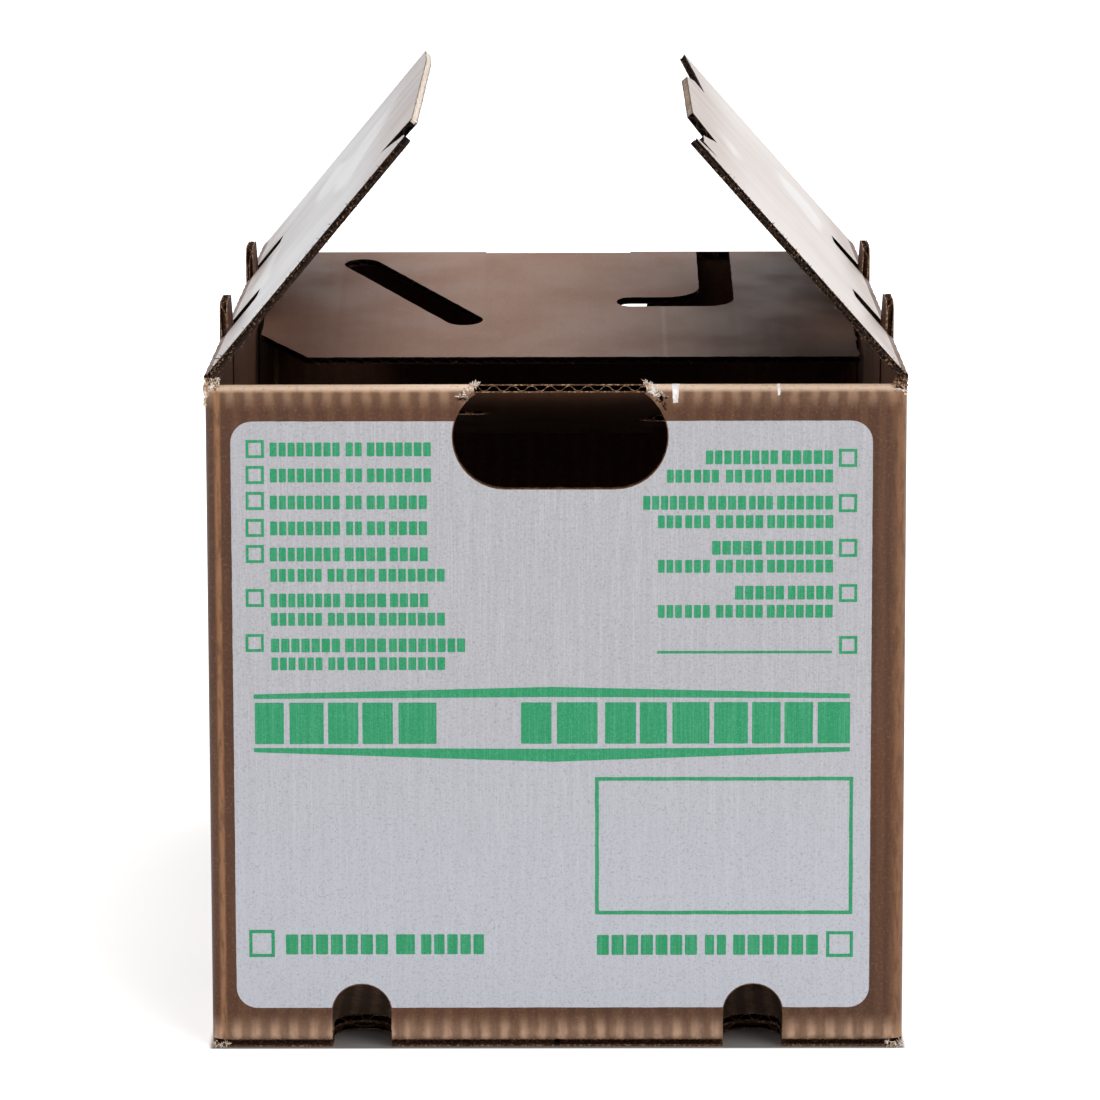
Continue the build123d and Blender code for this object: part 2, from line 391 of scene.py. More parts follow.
def slot_loop(p, q, width):
    """A slot with round ends about p and q."""
    a = math.degrees(math.atan2(q[1] - p[1], q[0] - p[0]))
    return arc_points(*q, width / 2, a - 90, a + 90, 12) + arc_points(*p, width / 2, a + 90, a + 270, 12)


def hook_loop():
    """The hooked slot of a tucked flap: (u, v), v being measured from the wall's outer face."""
    loop = [(72.5, -4.0), (90.0, -4.0)]
    loop += arc_points(76.0, 93.0, 14.0, 0, 90, 7)
    loop += arc_points(37.5, 99.5, 7.5, 90, 180, 6)
    loop += arc_points(37.5, 98.0, 7.5, 180, 270, 6)
    loop += arc_points(54.5, 72.5, 18.0, 90, 0, 8)
    return loop


def end_strip(name, sign, droop, seed, materials):
    """An end of the carton: sign -1 is the front end."""
    prof = Profile(HALF_L, BOARD, END_TOP, droop)
    rng = random.Random(seed)
    flap = prof.of_flap
    full = HALF_W - FOLD_R
    floor_s, cut, end = prof.of_floor(END_FLOOR), flap(10.0), flap(END_FLAP)
    wide = END_FLAP_HALF
    outer = [
        (-full, floor_s), (full, floor_s), (full, cut), (wide, cut + 0.5), (wide, end),
        (CORNER_W - wide, end), (-wide, end - CORNER_L), (-wide, cut + 0.5), (-full, cut),
    ]
    breaks = prof.breaks()
    outer = true_sides(ragged(outer, rng, 5.0, 0.25, breaks), full)
    side = math.degrees(math.asin((HAND_FOLD_Z - HAND_Z) / HAND_R))
    arc = HAND_HALF_W - HAND_R
    mid = -HAND_X if sign < 0 else 0.0
    hand = arc_points(mid - arc, HAND_Z, HAND_R, 180 - side, 270, 12)
    hand += arc_points(mid + arc, HAND_Z, HAND_R, -90, side, 12)
    low, lip = HAND_FOLD_Z + 0.5, flap(HAND_LIP)
    right, left = mid + HAND_FOLD_HALF, mid - HAND_FOLD_HALF
    hand += [(right, low), (right, lip), (left, lip), (left, low)]
    holes = [ragged(hand, rng, 4.0, 0.2, breaks)]
    for x in (-END_NOTCH_X, END_NOTCH_X):
        notch = notch_loop(x, END_NOTCH_W, END_NOTCH_R, END_NOTCH_TOP, prof.of_floor(END_NOTCH_IN))
        holes.append(ragged(notch, rng, 4.0, 0.2, breaks))
    for loop in (slot_loop((-102.3, 28.6), (-47.6, 130.4), 19.2), hook_loop()):
        loop = [(u, max(flap(v), prof.high_end + 0.1)) for u, v in loop]
        holes.append(ragged(loop, rng, 5.0, 0.15))

    def place(u, s, d):
        h, z = prof.at(s, d)
        return (u * sign, sign * h, z)

    build = Builder()
    corrugate(build, outer, holes, place, breaks, seed)
    return mesh_piece(name, build, materials, "carton", "carton")


def side_strip(name, sign, seed, materials):
    """A long side: sign +1 is the right side. Its top edge, with two tabs, stays below the closed flap."""
    prof = Profile(HALF_W, 0.0)
    rng = random.Random(seed)
    full = HALF_L - FOLD_R
    top = SIDE_TOP - BOARD - SIDE_GAP
    floor_s = prof.of_floor(SIDE_FLOOR)
    in_tab = TAB_HALF - TAB_R
    outer = [(-full, floor_s), (full, floor_s), (full, top)]
    for y in (TAB_Y, -TAB_Y):
        outer += [(y + TAB_HALF, top)]
        outer += arc_points(y + in_tab, TAB_TOP - TAB_R, TAB_R, 0, 90, 6)
        outer += arc_points(y - in_tab, TAB_TOP - TAB_R, TAB_R, 90, 180, 6)
        outer += [(y - TAB_HALF, top)]
    outer += [(-full, top)]
    breaks = prof.breaks()
    outer = true_sides(ragged(outer, rng, 5.0, 0.25, breaks), full)
    holes = []
    for y in (-TAB_Y, TAB_Y):
        notch = notch_loop(y, SIDE_NOTCH_W, SIDE_NOTCH_R, SIDE_NOTCH_TOP, prof.of_floor(SIDE_NOTCH_IN))
        holes.append(ragged(notch, rng, 4.0, 0.2, breaks))
    # the end walls' notches run on through the two ends of this side's bottom flap
    s = prof.of_floor(HALF_W - END_NOTCH_X)
    half = END_NOTCH_W / 2
    for e in (-1, 1):
        tip, out = e * (full - 32.0 + half), e * (full + 3)
        arc = [(tip + e * p[0], s + p[1]) for p in arc_points(0, 0, half, 270, 90, 10)]
        holes.append(ragged([(out, s - half)] + arc + [(out, s + half)], rng, 5.0, 0.1))

    def place(u, s, d):
        # the tabs lean outwards, and the faces below them follow, because they run on from foot to tab
        h, z = prof.at(s, d)
        lean = min(TAB_LEAN, max(0.0, (z - SIDE_TOP + 2.0) * 0.06))
        return (sign * (h + lean), sign * u, z)

    build = Builder()
    corrugate(build, outer, holes, place, breaks, seed)
    return mesh_piece(name, build, materials, "carton", "carton")


def long_flap(name, sign, edge, angle, seed, materials, node, crush):
    """A long flap as it stands in the photograph: (u, v), v being measured from its hinge.

    crush(u, v) tells where its cut edge is pressed shut.
    """
    rng = random.Random(seed)
    outer = [(-FLAP_END, FLAP_ROOT)] + edge + [(FLAP_END, FLAP_ROOT)]
    holes = []
    top, in_cut = TAB_CUT - TAB_R, TAB_CUT_HALF - TAB_R
    for y in (-TAB_Y, TAB_Y):
        loop = [(y - TAB_CUT_HALF, -2.0), (y + TAB_CUT_HALF, -2.0)]
        loop += arc_points(y + in_cut, top, TAB_R, 0, 90, 6) + arc_points(y - in_cut, top, TAB_R, 90, 180, 6)
        holes.append(ragged(loop, rng, 5.0, 0.2))
    outer = ragged(outer, rng, 3.0, 0.3)

    def place(u, v, d):
        x = HALF_W - v * math.cos(angle) - d * math.sin(angle)
        z = SIDE_TOP + v * math.sin(angle) - d * math.cos(angle)
        return (sign * x, u, z)

    build = Builder()
    corrugate(build, outer, holes, place, (), seed, crush)
    # torn shreds along the near cut edge, and more of them by its root
    near_y = 0.4 - FLAP_END
    for d in (0.2, 1.0, 2.6, BOARD - 0.2):
        near = [(y, v, d) for y, v in ragged([(near_y, 3.0), (near_y, 137.0)], rng, 2.2, 0.4) if 3 < v < 136]
        fibres(build, [place(*p) for p in near], rng, SHRED, 0.8)
    root_bits = [(0.8 - FLAP_END, rng.uniform(1.5, 13.0), rng.uniform(0.2, 3.4)) for _ in range(26)]
    fibres(build, [place(*p) for p in root_bits], rng, SHRED, 1.5)
    return mesh_piece(name, build, materials, node, node)


def fibres(build, points, rng, mat, size):
    """Short torn shreds of paper standing off an edge."""
    for x, y, z in points:
        a, b = rng.uniform(0, 2 * math.pi), rng.uniform(-0.5, 0.5)
        length, width = rng.uniform(0.5, 1.6) * size, rng.uniform(0.2, 0.5) * size
        dx, dy, dz = math.cos(a) * length, rng.uniform(-0.3, 0.25) * length, math.sin(a) * length
        side = (math.sin(a) * width, b * width, -math.cos(a) * width)
        start = tuple(rng.uniform(-0.4, 0.4) + c for c in (x, y, z))
        tip = (start[0] + dx, start[1] + dy, start[2] + dz)
        other = tuple(c + d for c, d in zip(start, side))
        build.quad([start, other, tuple(t + 0.4 * d for t, d in zip(tip, side)), tip], LOOSE_PAPER, mat)


def curl(build, start, heading, length, width, bend, rng, mat):
    """A torn strip of liner that curls away from where it starts."""
    at, turn = Vector(start), Vector(heading).normalized()
    side = turn.cross(Vector((0.2, -1.0, 0.3))).normalized()
    axis = Vector(bend)
    rows = []
    for i in range(8):
        w = width * (1.0 - 0.09 * i) * rng.uniform(0.75, 1.15)
        rows.append((at - side * w / 2, at + side * w / 2))
        at = at + turn * length / 7
        turn = (turn + axis * 0.28 + Vector([rng.uniform(-0.12, 0.12) for _ in range(3)])).normalized()
    for (a, b), (c, d) in zip(rows, rows[1:]):
        build.quad([tuple(a), tuple(b), tuple(d), tuple(c)], LOOSE_PAPER, mat)


def torn_places(materials):
    """Torn and crumpled paper on the front end: at the hand hole and the upper and lower corners."""
    white, torn, cut = range(3)  # places in the list of materials
    rng = random.Random(77)
    build = Builder()
    prof = Profile(HALF_L, BOARD, END_TOP, FRONT_DROOP)
    high = prof.high_end - 1.0

    def on_front(u, s, lift):
        h, z = prof.at(s, -lift)
        return (u, -h, z)

    # strips of liner pulled off beside the hand hole
    for near, far, low, count, share in ((-34.5, -42.5, 293.5, 110, 0.25), (39.2, 48.0, 291.0, 170, 0.55)):
        for _ in range(count):
            t = rng.random()
            s = high - (high - low) * (t * rng.uniform(0.6, 1.1))
            spot = on_front(near + (far - near) * t, s, rng.uniform(0.0, 0.5))
            fibres(build, [spot], rng, white if rng.random() < share else torn, 1.5)
    # upper corners
    for sx, count, mat in ((-1, 70, torn), (1, 90, cut)):
        spots = [
            (sx * rng.uniform(149.0, 155.0), -rng.uniform(250.5, 253.6), rng.uniform(297.0, 304.5))
            for _ in range(count)
        ]
        fibres(build, spots, rng, mat, 1.5)
    # start, heading, length, width, bend and material of each curl
    curls = (
        ((-153.5, -252.8, 297.5), (-0.4, -0.1, 1.0), 8.0, 2.6, (0.9, -0.1, -0.6), torn),
        ((-154.0, -252.4, 295.5), (-0.3, -0.1, 1.0), 9.0, 2.2, (0.5, 0.0, 0.3), torn),
        ((-151.5, -253.0, 298.5), (0.1, -0.1, 1.0), 6.0, 2.4, (-0.9, 0.0, -0.5), torn),
        ((-153.0, -252.6, 300.0), (-0.6, 0.0, 1.0), 6.5, 1.8, (0.9, 0.0, 0.1), cut),
        ((-155.0, -252.6, 292.0), (0.0, -0.1, 1.0), 9.0, 1.6, (0.2, 0.0, 0.0), torn),
        ((151.0, -252.8, 297.0), (0.7, -0.1, 0.8), 6.0, 1.8, (-0.2, 0.0, -0.9), torn),
        ((149.5, -253.0, 298.5), (1.0, -0.1, 0.5), 5.5, 1.4, (-0.3, 0.0, -1.0), white),
        ((153.0, -252.6, 300.5), (-0.7, 0.0, 0.8), 5.0, 1.8, (0.2, 0.0, -0.9), cut),
        ((154.2, -252.6, 296.5), (0.1, 0.0, 1.0), 5.5, 1.5, (-0.9, 0.0, 0.2), torn),
    )
    for start, heading, length, width, bend, mat in curls:
        curl(build, start, heading, length, width, bend, rng, mat)
    # lower corners
    for sx in (-1, 1):
        spots = [
            (sx * rng.uniform(148.0, 154.5), -rng.uniform(250.5, 253.5), rng.uniform(0.6, 3.2))
            for _ in range(40)
        ]
        fibres(build, spots, rng, torn, 1.4)
    build.verts = [
        (max(-TORN_X, min(TORN_X, x)), max(-HALF_L, min(HALF_L, y)), max(TORN_LOW, min(TORN_HIGH, z)))
        for x, y, z in build.verts
    ]
    return mesh_piece("torn_places", build, materials, "carton")


def wax_streaks(material):
    """Two runs of wax over the fold of the front end."""
    prof = Profile(HALF_L, BOARD, END_TOP, FRONT_DROOP)
    rng = random.Random(5)
    build = Builder()
    n = 10  # rows of faces along a streak
    for x, w, low in ((52.8, 3.4, 293.2), (98.3, 1.4, 296.5)):
        s0, s1 = low, prof.high_end - 0.5
        loop = [(x - 0.35 * w, s0), (x + 0.3 * w, s0 + 0.3), (x + 0.5 * w, s1), (x - 0.5 * w, s1)]
        for u0, u1, (a0, a1), (b0, b1) in strips(ragged(loop, rng, 1.2, 0.15), [], 1.0):
            for i in range(n):
                row = []
                for u, a, b in ((u0, a0, b0), (u1, a1, b1)):
                    for t in (i / n, (i + 1) / n):
                        h, z = prof.at(a + (b - a) * t, -0.06)
                        row.append((u, -h, z))
                build.quad([row[0], row[2], row[3], row[1]], 0, 0)
    return mesh_piece("wax_streaks", build, [material], "carton")


def fold_strip(name, sign, angle, materials):
    """The outer liner where it bends from a long side into its flap."""
    build = Builder()
    reach, clear = HALF_L - 4.5, TAB_CUT_HALF + 0.1
    spans = [(-reach, -TAB_Y - clear), (-TAB_Y + clear, TAB_Y - clear), (TAB_Y + clear, reach)]
    # distances from the hinge, down the wall and then up the flap
    steps = [-4.0, -2.5, -1.2, -0.4, 0.0, 0.4, 1.2, 2.5, 4.2]
    for y0, y1 in spans:
        n = int((y1 - y0) / 3.0)
        ys = [y0 + (y1 - y0) * i / n for i in range(n + 1)]
        for ya, yb in zip(ys, ys[1:]):
            for s0, s1 in zip(steps, steps[1:]):
                pts = []
                for y, t in ((ya, s0), (yb, s0), (yb, s1), (ya, s1)):
                    uneven = 0.8 + 0.2 * math.sin(y / 3.7 + math.sin(y / 11.0))
                    swell = 0.55 * math.exp(-(t / 1.8) ** 2) * uneven
                    if t <= 0:
                        x, z = HALF_W + swell, SIDE_TOP + t
                    else:
                        x = HALF_W - t * math.cos(angle) + swell * math.sin(angle)
                        z = SIDE_TOP + t * math.sin(angle) + swell * math.cos(angle)
                    pts.append((sign * x, y, z))
                build.quad(pts, 0, 0)
    piece = mesh_piece(name, build, materials, None)
    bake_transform(piece)
    return piece


def corner_posts(materials):
    """The four upright corner folds: an outer face, an inner face and the cut edges at both ends."""
    build = Builder()
    steps = [POST_LOW + (POST_HIGH - POST_LOW) * i / 24 for i in range(25)]
    turns = [math.pi / 16 * i for i in range(9)]
    inside = FOLD_R - BOARD

    for sx in (-1, 1):
        for sy in (-1, 1):
            def point(a, r, z, sx=sx, sy=sy):
                return (sx * (HALF_W - FOLD_R + r * math.cos(a)), sy * (HALF_L - FOLD_R + r * math.sin(a)), z)

            for r, layer, mat in ((FOLD_R, OUTER_FACE, OUTER), (inside, INNER_FACE, INNER)):
                for a, b in zip(turns, turns[1:]):
                    for z0, z1 in zip(steps, steps[1:]):
                        face = [point(a, r, z0), point(b, r, z0), point(b, r, z1), point(a, r, z1)]
                        build.quad(face, layer, mat)
            for z in (POST_LOW, POST_HIGH):
                for a, b in zip(turns, turns[1:]):
                    lip = [point(a, FOLD_R, z), point(b, FOLD_R, z), point(b, inside, z), point(a, inside, z)]
                    build.quad(lip, LINER_LIP, CUT)
    return mesh_piece("corner_folds", build, materials, "carton", "carton")


WAX_IOR = 1.46
BLOT_PITCH = 0.0086  # metres between the blots of rubbed wax


class Nodes:
    """Short calls for building a material's node tree."""

    def __init__(self, name):
        self.mat = bpy.data.materials.new(name)
        self.mat.use_nodes = True
        self.tree = self.mat.node_tree
        self.bsdf = self.tree.nodes["Principled BSDF"]
        self.coord = self.tree.nodes.new("ShaderNodeTexCoord").outputs["Object"]
        split = self.tree.nodes.new("ShaderNodeSeparateXYZ")
        self.tree.links.new(self.coord, split.inputs[0])
        self.x, self.y, self.z = split.outputs

    def feed(self, value, socket):
        """Sets a socket to a plain value, or links it to another socket."""
        if isinstance(value, bpy.types.NodeSocket):
            self.tree.links.new(value, socket)
        else:
            socket.default_value = value

    def math(self, op, a, b=0.0):
        n = self.tree.nodes.new("ShaderNodeMath")
        n.operation = op
        self.feed(a, n.inputs[0])
        self.feed(b, n.inputs[1])
        return n.outputs[0]

    def times(self, a, b):
        return self.math("MULTIPLY", a, b)

    def ramp(self, value, low, high, to_low=0.0, to_high=1.0):
        """Goes smoothly from to_low to to_high while the value goes from low to high."""
        n = self.tree.nodes.new("ShaderNodeMapRange")
        n.interpolation_type = "SMOOTHSTEP"
        for i, v in enumerate((value, low, high, to_low, to_high)):
            self.feed(v, n.inputs[i])
        return n.outputs[0]

    def noise(self, scale, detail=3.0, stretch=(1, 1, 1), rough=0.55):
        m = self.tree.nodes.new("ShaderNodeMapping")
        m.inputs["Scale"].default_value = stretch
        self.tree.links.new(self.coord, m.inputs[0])
        n = self.tree.nodes.new("ShaderNodeTexNoise")
        n.inputs["Scale"].default_value = scale
        n.inputs["Detail"].default_value = detail
        n.inputs["Roughness"].default_value = rough
        self.tree.links.new(m.outputs[0], n.inputs["Vector"])
        return n.outputs["Fac"]

    def mix(self, fac, a, b):
        """Colour a where fac is 0, colour b where it is 1."""
        n = self.tree.nodes.new("ShaderNodeMix")
        n.data_type = "RGBA"
        self.feed(fac, n.inputs[0])
        self.feed(a, n.inputs[6])
        self.feed(b, n.inputs[7])
        return n.outputs[2]

    def bump(self, height, strength, distance, normal=None):
        n = self.tree.nodes.new("ShaderNodeBump")
        n.inputs["Strength"].default_value = strength
        n.inputs["Distance"].default_value = distance
        self.tree.links.new(height, n.inputs["Height"])
        if normal is not None:
            self.tree.links.new(normal, n.inputs["Normal"])
        return n.outputs[0]


def srgb(*levels):
    """A colour for a socket, from its 0 to 255 levels on the screen."""
    parts = [c / 255 for c in levels]
    return (*(c / 12.92 if c <= 0.04045 else ((c + 0.055) / 1.055) ** 2.4 for c in parts), 1.0)


def flute_lines(n, axis):
    """A soft ridge over each flute, 0 to 1, for sheets whose flutes are spaced along an axis."""
    wob = n.times(n.noise(30, 1), 0.0015)
    u = n.math("ADD", n.x if axis == "x" else n.y, wob)
    turn = n.times(u, 2 * math.pi / (PITCH * MM))
    return n.ramp(n.math("SINE", turn), -1.0, 1.0)


def board(name, axis, base, pale, dark, level=0.3, rough=0.45, patches=0.6, stripes=0.08, glow=None):
    """Waxed kraft: fine mottled grain, faint flute ridges, a few wax patches, and rubbed folds with painted
    highlights on the corner ridges; a glow function, where given, takes their place: the painted shade of the
    back flap, and the painted sheen of the long flaps.
    """
    n = Nodes(name)
    ridge = flute_lines(n, axis)
    fibre = n.noise(1.0, 4.0, (240, 70, 16) if axis == "x" else (70, 240, 16), 0.7)
    grain = n.noise(780.0, 3.0, rough=0.7)
    colour = n.mix(n.times(n.ramp(n.noise(9.0, 4.0), 0.35, 0.7), patches), base, dark)
    colour = n.mix(n.times(n.ramp(fibre, 0.45, 0.8), 0.14), colour, pale)
    colour = n.mix(n.times(n.ramp(ridge, 0.3, 1.0), stripes), colour, pale)
    colour = n.mix(n.times(n.ramp(grain, 0.5, 0.75), 0.3), colour, pale)
    colour = n.mix(n.times(n.ramp(grain, 0.48, 0.28), 0.45), colour, dark)
    colour = glow(n, colour) if glow else worn_folds_and_highlights(n, colour)
    n.feed(colour, n.bsdf.inputs["Base Color"])
    cloud = n.noise(26.0, 4.0, (1, 1, 0.35))
    n.feed(n.ramp(cloud, 0.35, 0.7, rough - 0.06, rough + 0.1), n.bsdf.inputs["Roughness"])
    n.bsdf.inputs["IOR"].default_value = WAX_IOR
    n.bsdf.inputs["Specular IOR Level"].default_value = level
    normal = n.bump(ridge, 0.25, 0.0002)
    normal = n.bump(grain, 0.15, 0.0002, normal)
    normal = n.bump(n.noise(7.0, 2.0), 0.25, 0.0015, normal)
    n.feed(normal, n.bsdf.inputs["Normal"])
    return n.mat


def worn_folds_and_highlights(n, colour):
    """Rubbed wax: the bottom edge, the folds over the ends and the corner ridges go pale and streaky; on the
    corner ridges part of the paleness is a painted highlight.
    """
    streak = n.noise(1.0, 4.0, (360, 360, 24), 0.65)
    fine = n.noise(520.0, 3.0, rough=0.7)
    blot = n.math("SINE", n.times(n.x, 2 * math.pi / BLOT_PITCH))
    blot = n.ramp(n.math("ADD", blot, n.times(n.noise(180.0, 2.0), 2.2)), 0.4, 2.2)
    # over the ends: a pale line along the fold, with soft blots below it
    ay = n.math("ABSOLUTE", n.y)
    soft = n.times(n.ramp(n.z, 0.2890, 0.2985), n.math("ADD", n.times(blot, 0.3), 0.12))
    soft = n.times(soft, n.ramp(ay, 0.2500, 0.2515))
    line = n.times(n.ramp(n.z, 0.2976, 0.3000), n.ramp(fine, 0.25, 0.5, 0.5, 0.9))
    line = n.times(line, n.ramp(ay, 0.2484, 0.2492))
    colour = n.mix(soft, colour, srgb(206, 166, 134))
    colour = n.mix(line, colour, srgb(232, 202, 176))
    # along the bottom: blots that fade upwards, and a pale edge
    low = n.times(n.ramp(n.z, 0.0045, 0.0175, 1.0, 0.0), n.math("ADD", n.times(blot, 0.45), 0.3))
    low = n.times(low, n.ramp(streak, 0.3, 0.6, 0.6, 1.0))
    colour = n.mix(low, colour, srgb(222, 182, 152))
    edge = n.times(n.ramp(n.z, 0.0018, 0.0046, 1.0, 0.0), n.ramp(streak, 0.3, 0.55, 0.3, 1.0))
    colour = n.mix(n.times(edge, 0.8), colour, srgb(232, 204, 180))
    # upright corner ridges: on the left one a pale worn score line with a painted highlight, on the right one
    # a painted highlight over its outer edge, which faces the key lamp
    face = n.ramp(n.math("ABSOLUTE", n.y), 0.2496, 0.2506)
    ridge = n.times(n.ramp(n.x, -0.1516, -0.1502), n.ramp(n.x, -0.1490, -0.1478, 1.0, 0.0))
    right = n.times(n.ramp(n.x, 0.1470, 0.1534, 0.0, 0.75), n.ramp(n.x, 0.1546, 0.1549, 1.0, 0.3))
    worn_and_highlit = n.times(n.math("MAXIMUM", ridge, right), face)
    worn_and_highlit = n.times(worn_and_highlit, n.ramp(n.noise(1.0, 3.0, (500, 500, 90), 0.6), 0.3, 0.6, 0.1, 0.42))
    return n.mix(worn_and_highlit, colour, srgb(196, 142, 100))


def tucked_shade_and_crease(n, colour):
    """The tucked back flap: painted shade, browner and darker towards its left and darker towards its right,
    where the right flap's shadow falls; with one faint crease.
    """
    inside = n.ramp(n.y, 0.2500, 0.2480)
    # painted shade at the flap's left, and the right flap's painted shadow at its right, only in from the
    # back end's outer face
    left = n.times(n.ramp(n.x, -0.135, -0.06, 0.55, 0.0), inside)
    right = n.times(n.ramp(n.x, 0.055, 0.125, 0.0, 0.6), inside)
    colour = n.mix(left, colour, srgb(104, 66, 46))
    colour = n.mix(right, colour, srgb(58, 40, 32))
    off = n.math("ABSOLUTE", n.math("SUBTRACT", n.x, 0.0535))
    crease = n.times(n.ramp(off, 0.0002, 0.0020, 0.2, 0.0), n.ramp(n.y, 0.150, 0.160, 1.0, 0.0))
    return n.mix(crease, colour, srgb(206, 184, 172))


def flap_sheen(n, colour, sheen_colour):
    """Painted sheen on the upper face of a long flap: a whitish painted reflection of the white room, with
    brighter smears of painted highlight and browner ends.
    """
    painted_sheen = n.ramp(n.noise(1.0, 2.0, (9, 3, 9), 0.4), 0.3, 0.7, 0.72, 0.95)
    sheen_smear = n.ramp(n.noise(1.0, 1.0, (26, 5, 26), 0.3), 0.58, 0.66, 0.0, 0.45)
    ends = n.times(n.ramp(n.z, 0.312, 0.330, 0.6, 1.0), n.ramp(n.z, 0.376, 0.404, 1.0, 0.6))
    middle = n.ramp(n.z, 0.385, 0.398, 1.0, 0.0)
    colour = n.mix(n.times(painted_sheen, ends), colour, sheen_colour)
    return n.mix(n.times(sheen_smear, n.times(ends, middle)), colour, srgb(246, 246, 247))


def paper(name, base, pale, dark, fleck=0.5, scale=900.0):
    """A cut or torn edge: raw fibre, with pale flecks over a darker ground."""
    n = Nodes(name)
    grain = n.noise(scale, 3.0, rough=0.7)
    broad = n.noise(60.0, 3.0)
    colour = n.mix(n.times(n.ramp(broad, 0.4, 0.7), 0.6), base, dark)
    colour = n.mix(n.ramp(grain, fleck, fleck + 0.12), colour, pale)
    n.feed(colour, n.bsdf.inputs["Base Color"])
    n.bsdf.inputs["Roughness"].default_value = 0.8
    n.bsdf.inputs["Specular IOR Level"].default_value = 0.2
    n.feed(n.bump(grain, 0.6, 0.0003), n.bsdf.inputs["Normal"])
    return n.mat


def ink(name, base, pale, dark, lower=None):
    """Printed ink over the flutes: fine upright lines and a salt and pepper speckle."""
    n = Nodes(name)
    ridge = flute_lines(n, "x")
    fine = n.noise(1.0, 3.0, (1500, 1, 30), 0.6)
    speck = n.noise(1050.0, 3.0, rough=0.8)
    colour = base
    if lower:
        colour = n.mix(n.ramp(n.z, 0.03, 0.2), lower, base)
    colour = n.mix(n.times(n.ramp(fine, 0.42, 0.7), 0.4), colour, pale)
    colour = n.mix(n.times(ridge, 0.06), colour, pale)
    colour = n.mix(n.times(n.ramp(speck, 0.52, 0.72), 0.6), colour, pale)
    colour = n.mix(n.times(n.ramp(speck, 0.48, 0.3), 0.6), colour, dark)
    n.feed(colour, n.bsdf.inputs["Base Color"])
    n.bsdf.inputs["Roughness"].default_value = 0.45
    n.bsdf.inputs["IOR"].default_value = WAX_IOR
    n.bsdf.inputs["Specular IOR Level"].default_value = 0.35
    normal = n.bump(ridge, 0.35, 0.0002)
    normal = n.bump(fine, 0.15, 0.0001, normal)
    n.feed(normal, n.bsdf.inputs["Normal"])
    return n.mat


KRAFT = srgb(83, 50, 31)
PALE = srgb(152, 109, 76)
DARK = srgb(62, 38, 25)
end_outer = board("kraft_end_outer", "x", KRAFT, PALE, DARK)
# The tucked back flap is the same board as the ends, given a much paler, greyer colour: painted light and
# sheen where it faces the lamps above. Painted shade is laid over it towards both sides.
back_outer = board(
    "kraft_back_outer", "x", srgb(150, 117, 101), srgb(172, 142, 124), srgb(126, 94, 78),
    0.2, 0.5, 0.3, 0.02, tucked_shade_and_crease,
)
side_outer = board("kraft_side_outer", "y", KRAFT, PALE, DARK)
# Colours and finish of the upper faces of both long flaps: their pale grey-brown is partly a grey print and
# partly painted sheen, the white room reflected at a grazing angle
FLAP = (srgb(140, 108, 90), srgb(168, 138, 120), srgb(112, 84, 68), 0.5, 0.42, 0.2, 0.0)
# the last colour on each of these lines is the colour of the painted sheen
left_outer = board("left_flap_outer", "y", *FLAP, lambda n, c: flap_sheen(n, c, srgb(210, 209, 212)))
right_outer = board("right_flap_outer", "y", *FLAP, lambda n, c: flap_sheen(n, c, srgb(224, 217, 214)))
end_inner = board("kraft_end_inner", "x", srgb(84, 55, 40), srgb(112, 80, 60), srgb(58, 37, 26), 0.15, 0.55)
side_inner = board("kraft_side_inner", "y", srgb(98, 64, 46), srgb(124, 88, 66), srgb(68, 43, 31), 0.15, 0.55)
cut_paper = paper("kraft_cut_edge", srgb(98, 68, 48), srgb(186, 150, 118), srgb(52, 33, 23))
flute_paper = paper("kraft_flute", srgb(52, 33, 24), srgb(104, 74, 54), srgb(30, 19, 14))
torn_paper = paper("torn_paper", srgb(176, 140, 110), srgb(242, 228, 212), srgb(112, 80, 58), 0.42, 700.0)
white_paper = paper(
    "torn_white_paper", srgb(236, 226, 214), srgb(250, 246, 240), srgb(204, 182, 160), 0.42, 700.0
)
# dark_cut_edge here and flute_dark below are darker copies of the cut edge and the flutes: painted shade on
# the cut edges of the long flaps and of the back end, together with the real dark of open flutes
dark_cut = paper("dark_cut_edge", srgb(40, 25, 18), srgb(150, 120, 94), srgb(20, 12, 9), 0.6)
# pale_cut_edge and grey_cut_edge are paler copies of the cut edge, for the pressed free edges of the long
# flaps: painted light where these edges face the lamps
pale_cut = paper("pale_cut_edge", srgb(226, 204, 186), srgb(246, 234, 220), srgb(180, 150, 128), 0.4)
grey_cut = paper("grey_cut_edge", srgb(146, 126, 110), srgb(192, 174, 156), srgb(96, 76, 62), 0.5)
flute_dark = paper("flute_dark", srgb(34, 21, 15), srgb(92, 66, 50), srgb(18, 11, 8), 0.58)
wax = paper("wax", srgb(236, 232, 230), srgb(250, 248, 246), srgb(216, 204, 196), 0.5, 400.0)

# Lists of materials, in the order OUTER, INNER, CUT, FLUTE, PRESSED, SHRED
end_set = [end_outer, end_inner, cut_paper, flute_paper]
back_set = [back_outer, end_inner, dark_cut, flute_dark]
side_set = [side_outer, side_inner, cut_paper, flute_paper]
left_set = [left_outer, side_inner, dark_cut, flute_dark, pale_cut, cut_paper]
right_set = [right_outer, side_inner, dark_cut, flute_dark, grey_cut, cut_paper]

